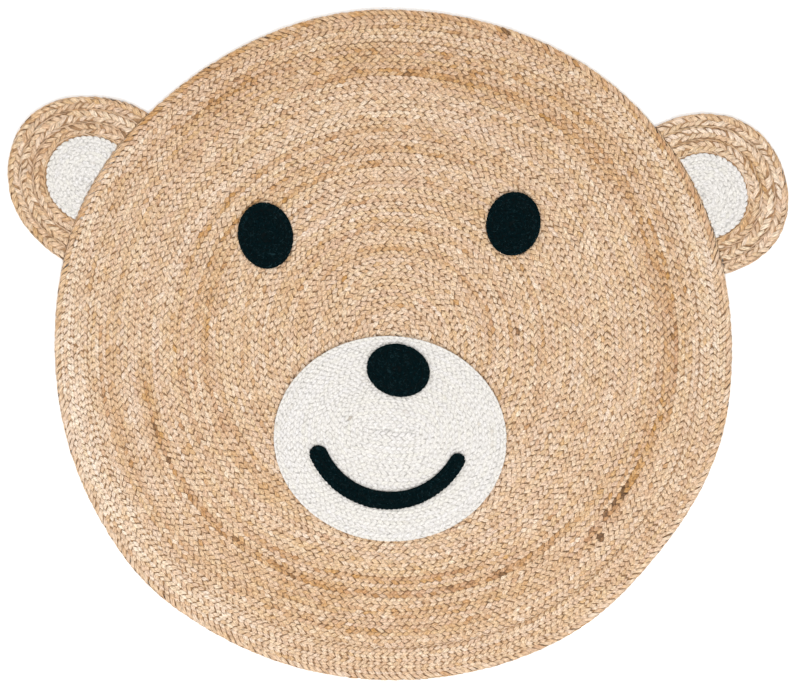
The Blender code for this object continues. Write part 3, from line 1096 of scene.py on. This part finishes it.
class RUG_OT_spots(bpy.types.Operator):
    """Plait the black yarn eyes and nose"""

    bl_idname = "rug.spots"
    bl_label = "Eyes and Nose"

    def execute(self, context):
        braids = context.scene.rug_braids
        for number, (name, spec) in enumerate(SPOTS.items()):
            lay_oval(
                name, spec, YARN_BRAID, braids.yarn_spacing, "yarn", YARN_TONES,
                SEEDS["spots"] + number, braids.yarn_fuzz,
            )
        return {"FINISHED"}


def smile_ends():
    return -SMILE_LEFT[0] * math.radians(SMILE_LEFT[1]), SMILE_RIGHT[0] * math.radians(SMILE_RIGHT[1])


def smile_half(travel):
    """Half the smile's width, which shrinks in a round at each end."""
    left, right = smile_ends()
    share = (travel - left) / (right - left)
    wide = SMILE_HALF_WIDTH[0] + (SMILE_HALF_WIDTH[1] - SMILE_HALF_WIDTH[0]) * np.clip(share - 0.5, 0, 1) * 2
    end = np.minimum(np.minimum(travel - left, right - travel), wide)
    return np.maximum(SMILE_END * wide, np.sqrt(np.maximum(0, wide**2 - (wide - end) ** 2)))


def smile_run(row):
    """The middle of one row of the smile, with its width, from its left end to its right."""
    travel = np.linspace(*smile_ends(), SMILE_POINTS)
    half = smile_half(travel)
    return travel, half * (2 * row + 1 - SMILE_ROWS) / SMILE_ROWS, 2 * half / SMILE_ROWS


def smile_place(middle):
    """Places by distance across the smile and by travel along it, which takes an angle's part."""

    def place(offset, travel):
        radius = np.where(travel < 0, SMILE_LEFT[0], SMILE_RIGHT[0])
        turn = travel / radius
        x = (radius - offset) * np.sin(turn)
        y = radius - (radius - offset) * np.cos(turn)
        return np.stack([middle[0] + x, middle[1] + y], axis=-1)

    return place


def hold_in_smile(points, middle):
    """Draw points beyond the smile's outline in to it."""
    x, y = points[..., 0] - middle[0], points[..., 1] - middle[1]
    radius = np.where(x < 0, SMILE_LEFT[0], SMILE_RIGHT[0])
    travel = np.clip(np.arctan2(x, radius - y) * radius, *smile_ends())
    half = smile_half(travel) + SMILE_GIVE
    offset = np.clip(radius - np.hypot(x, radius - y), -half, half)
    points[..., :2] = smile_place(middle)(offset, travel)
    return points


class RUG_OT_smile(bpy.types.Operator):
    """Plait the smile, three rows of black yarn along a curve"""

    bl_idname = "rug.smile"
    bl_label = "Smile"

    def execute(self, context):
        braids = context.scene.rug_braids
        rng = np.random.default_rng(braids.seed + SEEDS["smile"])
        low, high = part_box("smile")
        drawn = []
        for row in range(SMILE_ROWS):
            travel, offset, width = smile_run(row)
            drawn += [smile_place((0, 0))(offset + side * width / 2, travel) for side in (-1, 1)]
        middle = seat("smile", np.concatenate(drawn))
        tones = plain_tones(rng, *YARN_TONES)
        lay = (braids.yarn_spacing, braids.narrow_lean, high.z - low.z, low.z, rng, braids.uneven, tones)
        stitches = np.concatenate([
            braid(smile_place(middle), smile_run(row), *lay) for row in range(SMILE_ROWS)
        ])
        plaits = [
            plait_object(
                "smile_plait", stitches, "yarn strands", low.z, high.z,
                lambda points: hold_in_smile(points, middle),
            ),
            fuzz_object("smile_fuzz", stitches, braids.yarn_fuzz, rng, high.z),
        ]
        core = core_object("smile_core", "smile", "yarn core", "yarn", *SMILE_CORE)
        lay_sheet(core)
        return {"FINISHED"}


class RUG_OT_stage(bpy.types.Operator):
    """Set the pale floor, soft studio light and a camera straight above"""

    bl_idname = "rug.stage"
    bl_label = "Stage"

    def execute(self, context):
        scene = context.scene
        bm = bmesh.new()
        bmesh.ops.create_grid(bm, x_segments=1, y_segments=1, size=FLOOR_HALF)
        mesh = bpy.data.meshes.new("floor")
        bm.to_mesh(mesh)
        bm.free()
        finish, _, _, shader = new_finish("floor white", roughness=0.9, gloss=0.2)
        shader.inputs["Base Color"].default_value = FLOOR_WHITE
        mesh.materials.append(finish)
        add_object("floor", mesh)

        world = bpy.data.worlds.new("studio")
        world.use_nodes = True
        world.node_tree.nodes["Background"].inputs["Color"].default_value = (1, 1, 1, 1)
        world.node_tree.nodes["Background"].inputs["Strength"].default_value = 1.0
        scene.world = world
        for name, (place, size, power) in LIGHTS.items():
            light = bpy.data.lights.new(name, "AREA")
            light.size = size
            light.energy = power
            lamp = add_object(name, light)
            lamp.location = place
            lamp.rotation_euler = (-Vector(place)).to_track_quat("-Z", "Y").to_euler()

        middle = face_middle()
        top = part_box("face")[1].z
        camera = bpy.data.cameras.new("above")
        camera.sensor_width = SENSOR_WIDTH
        camera.lens = SENSOR_WIDTH * (CAMERA_HEIGHT - top) / PHOTO_WIDTH
        above = add_object("above", camera)
        above.location = (middle[0] + PHOTO_MIDDLE[0], middle[1] + PHOTO_MIDDLE[1], CAMERA_HEIGHT)
        scene.camera = above
        scene.view_settings.view_transform = "Standard"
        return {"FINISHED"}


class RUG_PT_sidebar(bpy.types.Panel):
    bl_idname = "RUG_PT_sidebar"
    bl_label = "Bear-Head Rug"
    bl_space_type = "VIEW_3D"
    bl_region_type = "UI"
    bl_category = "Rug"

    def draw(self, context):
        for settings in (context.scene.rug_braids, context.scene.rug_colours):
            box = self.layout.box()
            for label in settings.__annotations__:
                box.prop(settings, label)
        for operator in OPERATORS:
            self.layout.operator(operator.bl_idname)


OPERATORS = (RUG_OT_face, RUG_OT_ears, RUG_OT_muzzle, RUG_OT_spots, RUG_OT_smile, RUG_OT_stage)
CLASSES = (RugBraids, RugColours, *OPERATORS, RUG_PT_sidebar)


def register():
    for kind in CLASSES:
        bpy.utils.register_class(kind)
    bpy.types.Scene.rug_braids = PointerProperty(type=RugBraids)
    bpy.types.Scene.rug_colours = PointerProperty(type=RugColours)


def unregister():
    del bpy.types.Scene.rug_colours
    del bpy.types.Scene.rug_braids
    for kind in reversed(CLASSES):
        bpy.utils.unregister_class(kind)


def main():
    register()
    bpy.ops.rug.stage()
    bpy.ops.rug.face()
    bpy.ops.rug.ears()
    bpy.ops.rug.muzzle()
    bpy.ops.rug.spots()
    bpy.ops.rug.smile()


if __name__ == "__main__":
    main()
